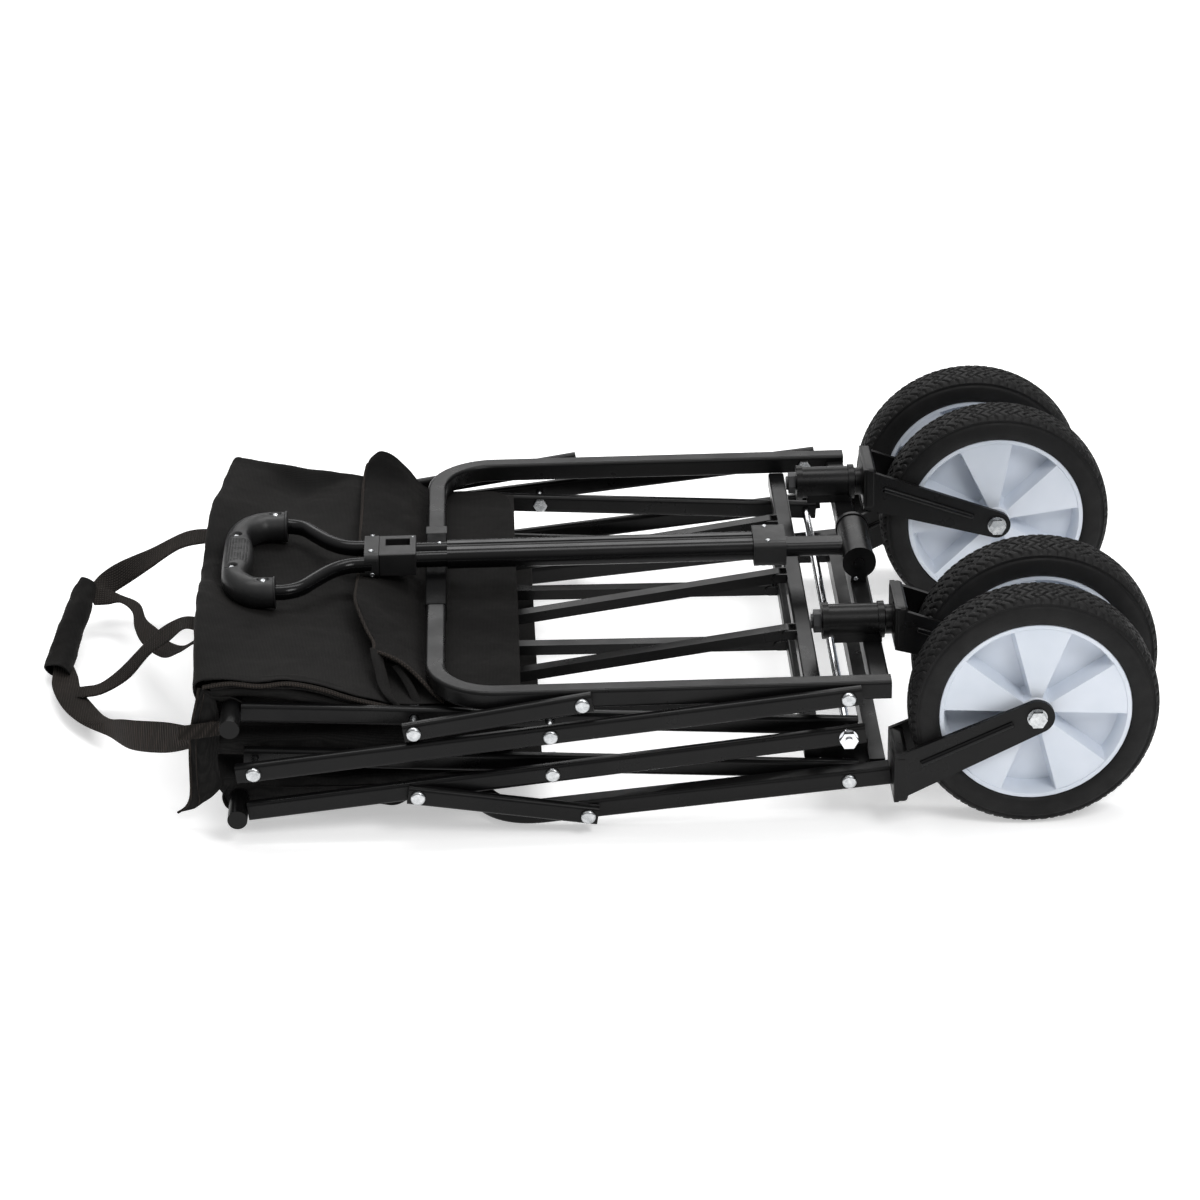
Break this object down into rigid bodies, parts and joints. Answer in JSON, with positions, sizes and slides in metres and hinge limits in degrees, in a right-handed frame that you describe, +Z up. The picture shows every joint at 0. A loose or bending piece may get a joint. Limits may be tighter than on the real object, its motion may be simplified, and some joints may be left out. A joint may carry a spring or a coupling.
{
  "type": "wagon with pull handle",
  "caption": "Folding utility wagon, folded flat: end frames joined by crossed bars, slatted floor, fabric basket, casters and a telescopic pull handle.",
  "frame": {"origin": "centre of the overall box, on the surface that the folded wagon lies on", "axes": "+X from the basket's rim to the wheels, +Y across the wagon, +Z up from the surface it lies on"},
  "size_m": [0.9128, 0.515, 0.2008],
  "materials": {
    "coated_steel": "black powder coat, satin",
    "zinc_hardware": "zinc plated, bright",
    "bright_rod": "polished plated rod",
    "tyre_rubber": "moulded, matt with a fine tread",
    "hub_plastic": "white moulded plastic, slightly glossy",
    "moulded_plastic": "black moulded plastic, fine texture",
    "basket_fabric": "black woven polyester",
    "webbing": "black woven webbing"
  },
  "bodies": {
    "rear_frame": {"rear_frame_tube": "coated_steel", "rear_pivot_screws": "zinc_hardware", "rear_floor_crossbar": "coated_steel", "rear_axle_crossbar": "coated_steel", "rear_fork_near": "coated_steel", "rear_fork_far": "coated_steel", "rear_axle_bolts": "zinc_hardware"},
    "rear_scissor": {"rear_inner_bars": "coated_steel", "centre_top_screws": "zinc_hardware", "rear_cross_rivets": "zinc_hardware"},
    "front_scissor": {"outer_bars": "coated_steel", "front_cross_rivets": "zinc_hardware"},
    "front_rim": {"front_rim_bars": "coated_steel", "front_rim_tube": "coated_steel", "front_link_pins": "zinc_hardware"},
    "rear_rim": {"rear_rim_bars": "coated_steel", "rear_rim_tube": "coated_steel", "rear_link_pins": "zinc_hardware", "centre_rod": "bright_rod"},
    "front_links": {"front_links": "coated_steel", "front_link_rivets": "zinc_hardware"},
    "rear_links": {"rear_links": "coated_steel", "rear_link_rivets": "zinc_hardware"},
    "front_frame": {"front_frame_tube": "coated_steel", "front_pivot_screws": "zinc_hardware", "front_floor_crossbar": "coated_steel", "caster_crossbar": "coated_steel", "caster_housings": "coated_steel", "handle_yoke": "coated_steel"},
    "front_floor": {"front_slats": "coated_steel"},
    "rear_floor": {"rear_slats": "coated_steel", "floor_hinge_rivets": "zinc_hardware"},
    "rear_basket": {"basket_rear_wall": "basket_fabric", "basket_side_near": "basket_fabric", "basket_side_far": "basket_fabric", "carry_strap": "webbing"},
    "front_basket": {"basket_front_wall": "basket_fabric"},
    "handle_outer": {"handle_barrel": "coated_steel", "handle_clamp": "moulded_plastic", "handle_outer_tubes": "coated_steel"},
    "handle_inner": {"handle_inner_tubes": "coated_steel", "latch_housing": "moulded_plastic", "handle_collar": "moulded_plastic", "handle_arms": "coated_steel", "handle_grip": "moulded_plastic"},
    "latch": {"latch_button": "moulded_plastic"},
    "rear_wheel_near": {"rear_tyre_near": "tyre_rubber", "rear_hub_near": "hub_plastic"},
    "caster_near": {"caster_fork_near": "coated_steel", "caster_stem_near": "zinc_hardware", "front_axle_near": "zinc_hardware"},
    "front_wheel_near": {"front_tyre_near": "tyre_rubber", "front_hub_near": "hub_plastic"},
    "rear_wheel_far": {"rear_tyre_far": "tyre_rubber", "rear_hub_far": "hub_plastic"},
    "caster_far": {"caster_fork_far": "coated_steel", "caster_stem_far": "zinc_hardware", "front_axle_far": "zinc_hardware"},
    "front_wheel_far": {"front_tyre_far": "tyre_rubber", "front_hub_far": "hub_plastic"}
  },
  "joints": [
    {"name": "fold", "type": "hinge", "parent": "rear_frame", "child": "rear_scissor", "pos_m": [0.19838, 0, 0.0372], "axis": [0, 1, 0], "range_deg": [0, 52.84], "deforming": ["basket_front_wall", "basket_rear_wall", "basket_side_near", "basket_side_far", "carry_strap"]},
    {"name": "centre_top_pivot", "type": "hinge", "parent": "rear_scissor", "child": "front_scissor", "pos_m": [-0.27483, 0, 0.06449], "axis": [0, -1, 0], "range_deg": [0, 94.22]},
    {"name": "front_frame_pivot", "type": "hinge", "parent": "front_scissor", "child": "front_frame", "pos_m": [0.19639, 0, 0.11568], "axis": [0, 1, 0], "range_deg": [0, 54.48]},
    {"name": "front_cross_pivot", "type": "hinge", "parent": "front_scissor", "child": "front_rim", "pos_m": [-0.03922, 0, 0.09008], "axis": [0, 1, 0], "range_deg": [0, 94.22]},
    {"name": "rear_cross_pivot", "type": "hinge", "parent": "rear_scissor", "child": "rear_rim", "pos_m": [-0.03823, 0, 0.05084], "axis": [0, -1, 0], "range_deg": [0, 94.22]},
    {"name": "front_link_pivot", "type": "hinge", "parent": "front_rim", "child": "front_links", "pos_m": [-0.14704, 0, 0.0963], "axis": [0, -1, 0], "range_deg": [0, 127.3]},
    {"name": "rear_link_pivot", "type": "hinge", "parent": "rear_rim", "child": "rear_links", "pos_m": [-0.1456, 0, 0.03918], "axis": [0, 1, 0], "range_deg": [0, 124.13]},
    {"name": "rear_floor_hinge", "type": "hinge", "parent": "rear_frame", "child": "rear_floor", "pos_m": [0.15738, 0, 0.051], "axis": [0, 1, 0], "range_deg": [0, 92.04]},
    {"name": "front_floor_hinge", "type": "hinge", "parent": "front_frame", "child": "front_floor", "pos_m": [0.15738, 0, 0.10798], "axis": [0, -1, 0], "range_deg": [0, 88.53]},
    {"name": "rear_basket_drop", "type": "slide", "parent": "rear_frame", "child": "rear_basket", "axis": [0.9919, 0, 0.1272], "range_m": [0, 0.18707]},
    {"name": "front_basket_spread", "type": "slide", "parent": "rear_basket", "child": "front_basket", "axis": [0.0865, 0, 0.9963], "range_m": [0, 0.69017]},
    {"name": "rear_wheel_spin_near", "type": "hinge", "parent": "rear_frame", "child": "rear_wheel_near", "pos_m": [0.34438, -0.225, 0.1], "axis": [0, 1, 0], "continuous": true},
    {"name": "caster_swivel_near", "type": "hinge", "parent": "front_frame", "child": "caster_near", "pos_m": [0.24038, -0.1376, 0.13458], "axis": [1, 0, 0], "range_deg": [-8, 30]},
    {"name": "front_wheel_spin_near", "type": "hinge", "parent": "caster_near", "child": "front_wheel_near", "pos_m": [0.35638, -0.1376, 0.10078], "axis": [0, 1, 0], "continuous": true},
    {"name": "rear_wheel_spin_far", "type": "hinge", "parent": "rear_frame", "child": "rear_wheel_far", "pos_m": [0.34438, 0.225, 0.1], "axis": [0, 1, 0], "continuous": true},
    {"name": "caster_swivel_far", "type": "hinge", "parent": "front_frame", "child": "caster_far", "pos_m": [0.24038, 0.1376, 0.13458], "axis": [1, 0, 0], "range_deg": [-30, 8]},
    {"name": "front_wheel_spin_far", "type": "hinge", "parent": "caster_far", "child": "front_wheel_far", "pos_m": [0.35638, 0.1376, 0.10078], "axis": [0, 1, 0], "continuous": true},
    {"name": "handle_swing", "type": "hinge", "parent": "front_frame", "child": "handle_outer", "pos_m": [0.22288, 0, 0.13778], "axis": [0, 1, 0], "range_deg": [0, 120]},
    {"name": "handle_extend", "type": "slide", "parent": "handle_outer", "child": "handle_inner", "axis": [-1, 0, 0], "range_m": [0, 0.2]},
    {"name": "latch_press", "type": "slide", "parent": "handle_inner", "child": "latch", "axis": [0, 0, -1], "range_m": [0, 0.002], "stiffness_N_per_m": 300, "springref_m": -0.001}
  ],
  "couplings": [
    {"joint": "centre_top_pivot", "follows": "fold", "ratio": 1.7828},
    {"joint": "front_frame_pivot", "follows": "fold", "ratio": 1.0308},
    {"joint": "front_cross_pivot", "follows": "fold", "ratio": 1.7828},
    {"joint": "rear_cross_pivot", "follows": "fold", "ratio": 1.7828},
    {"joint": "front_link_pivot", "follows": "fold", "ratio": 2.4089},
    {"joint": "rear_link_pivot", "follows": "fold", "ratio": 2.3488},
    {"joint": "rear_floor_hinge", "follows": "fold", "ratio": 1.7415},
    {"joint": "front_floor_hinge", "follows": "fold", "ratio": 1.6751},
    {"joint": "rear_basket_drop", "follows": "fold", "m_per_rad": 0.20263},
    {"joint": "front_basket_spread", "follows": "fold", "m_per_rad": 0.74818}
  ]
}
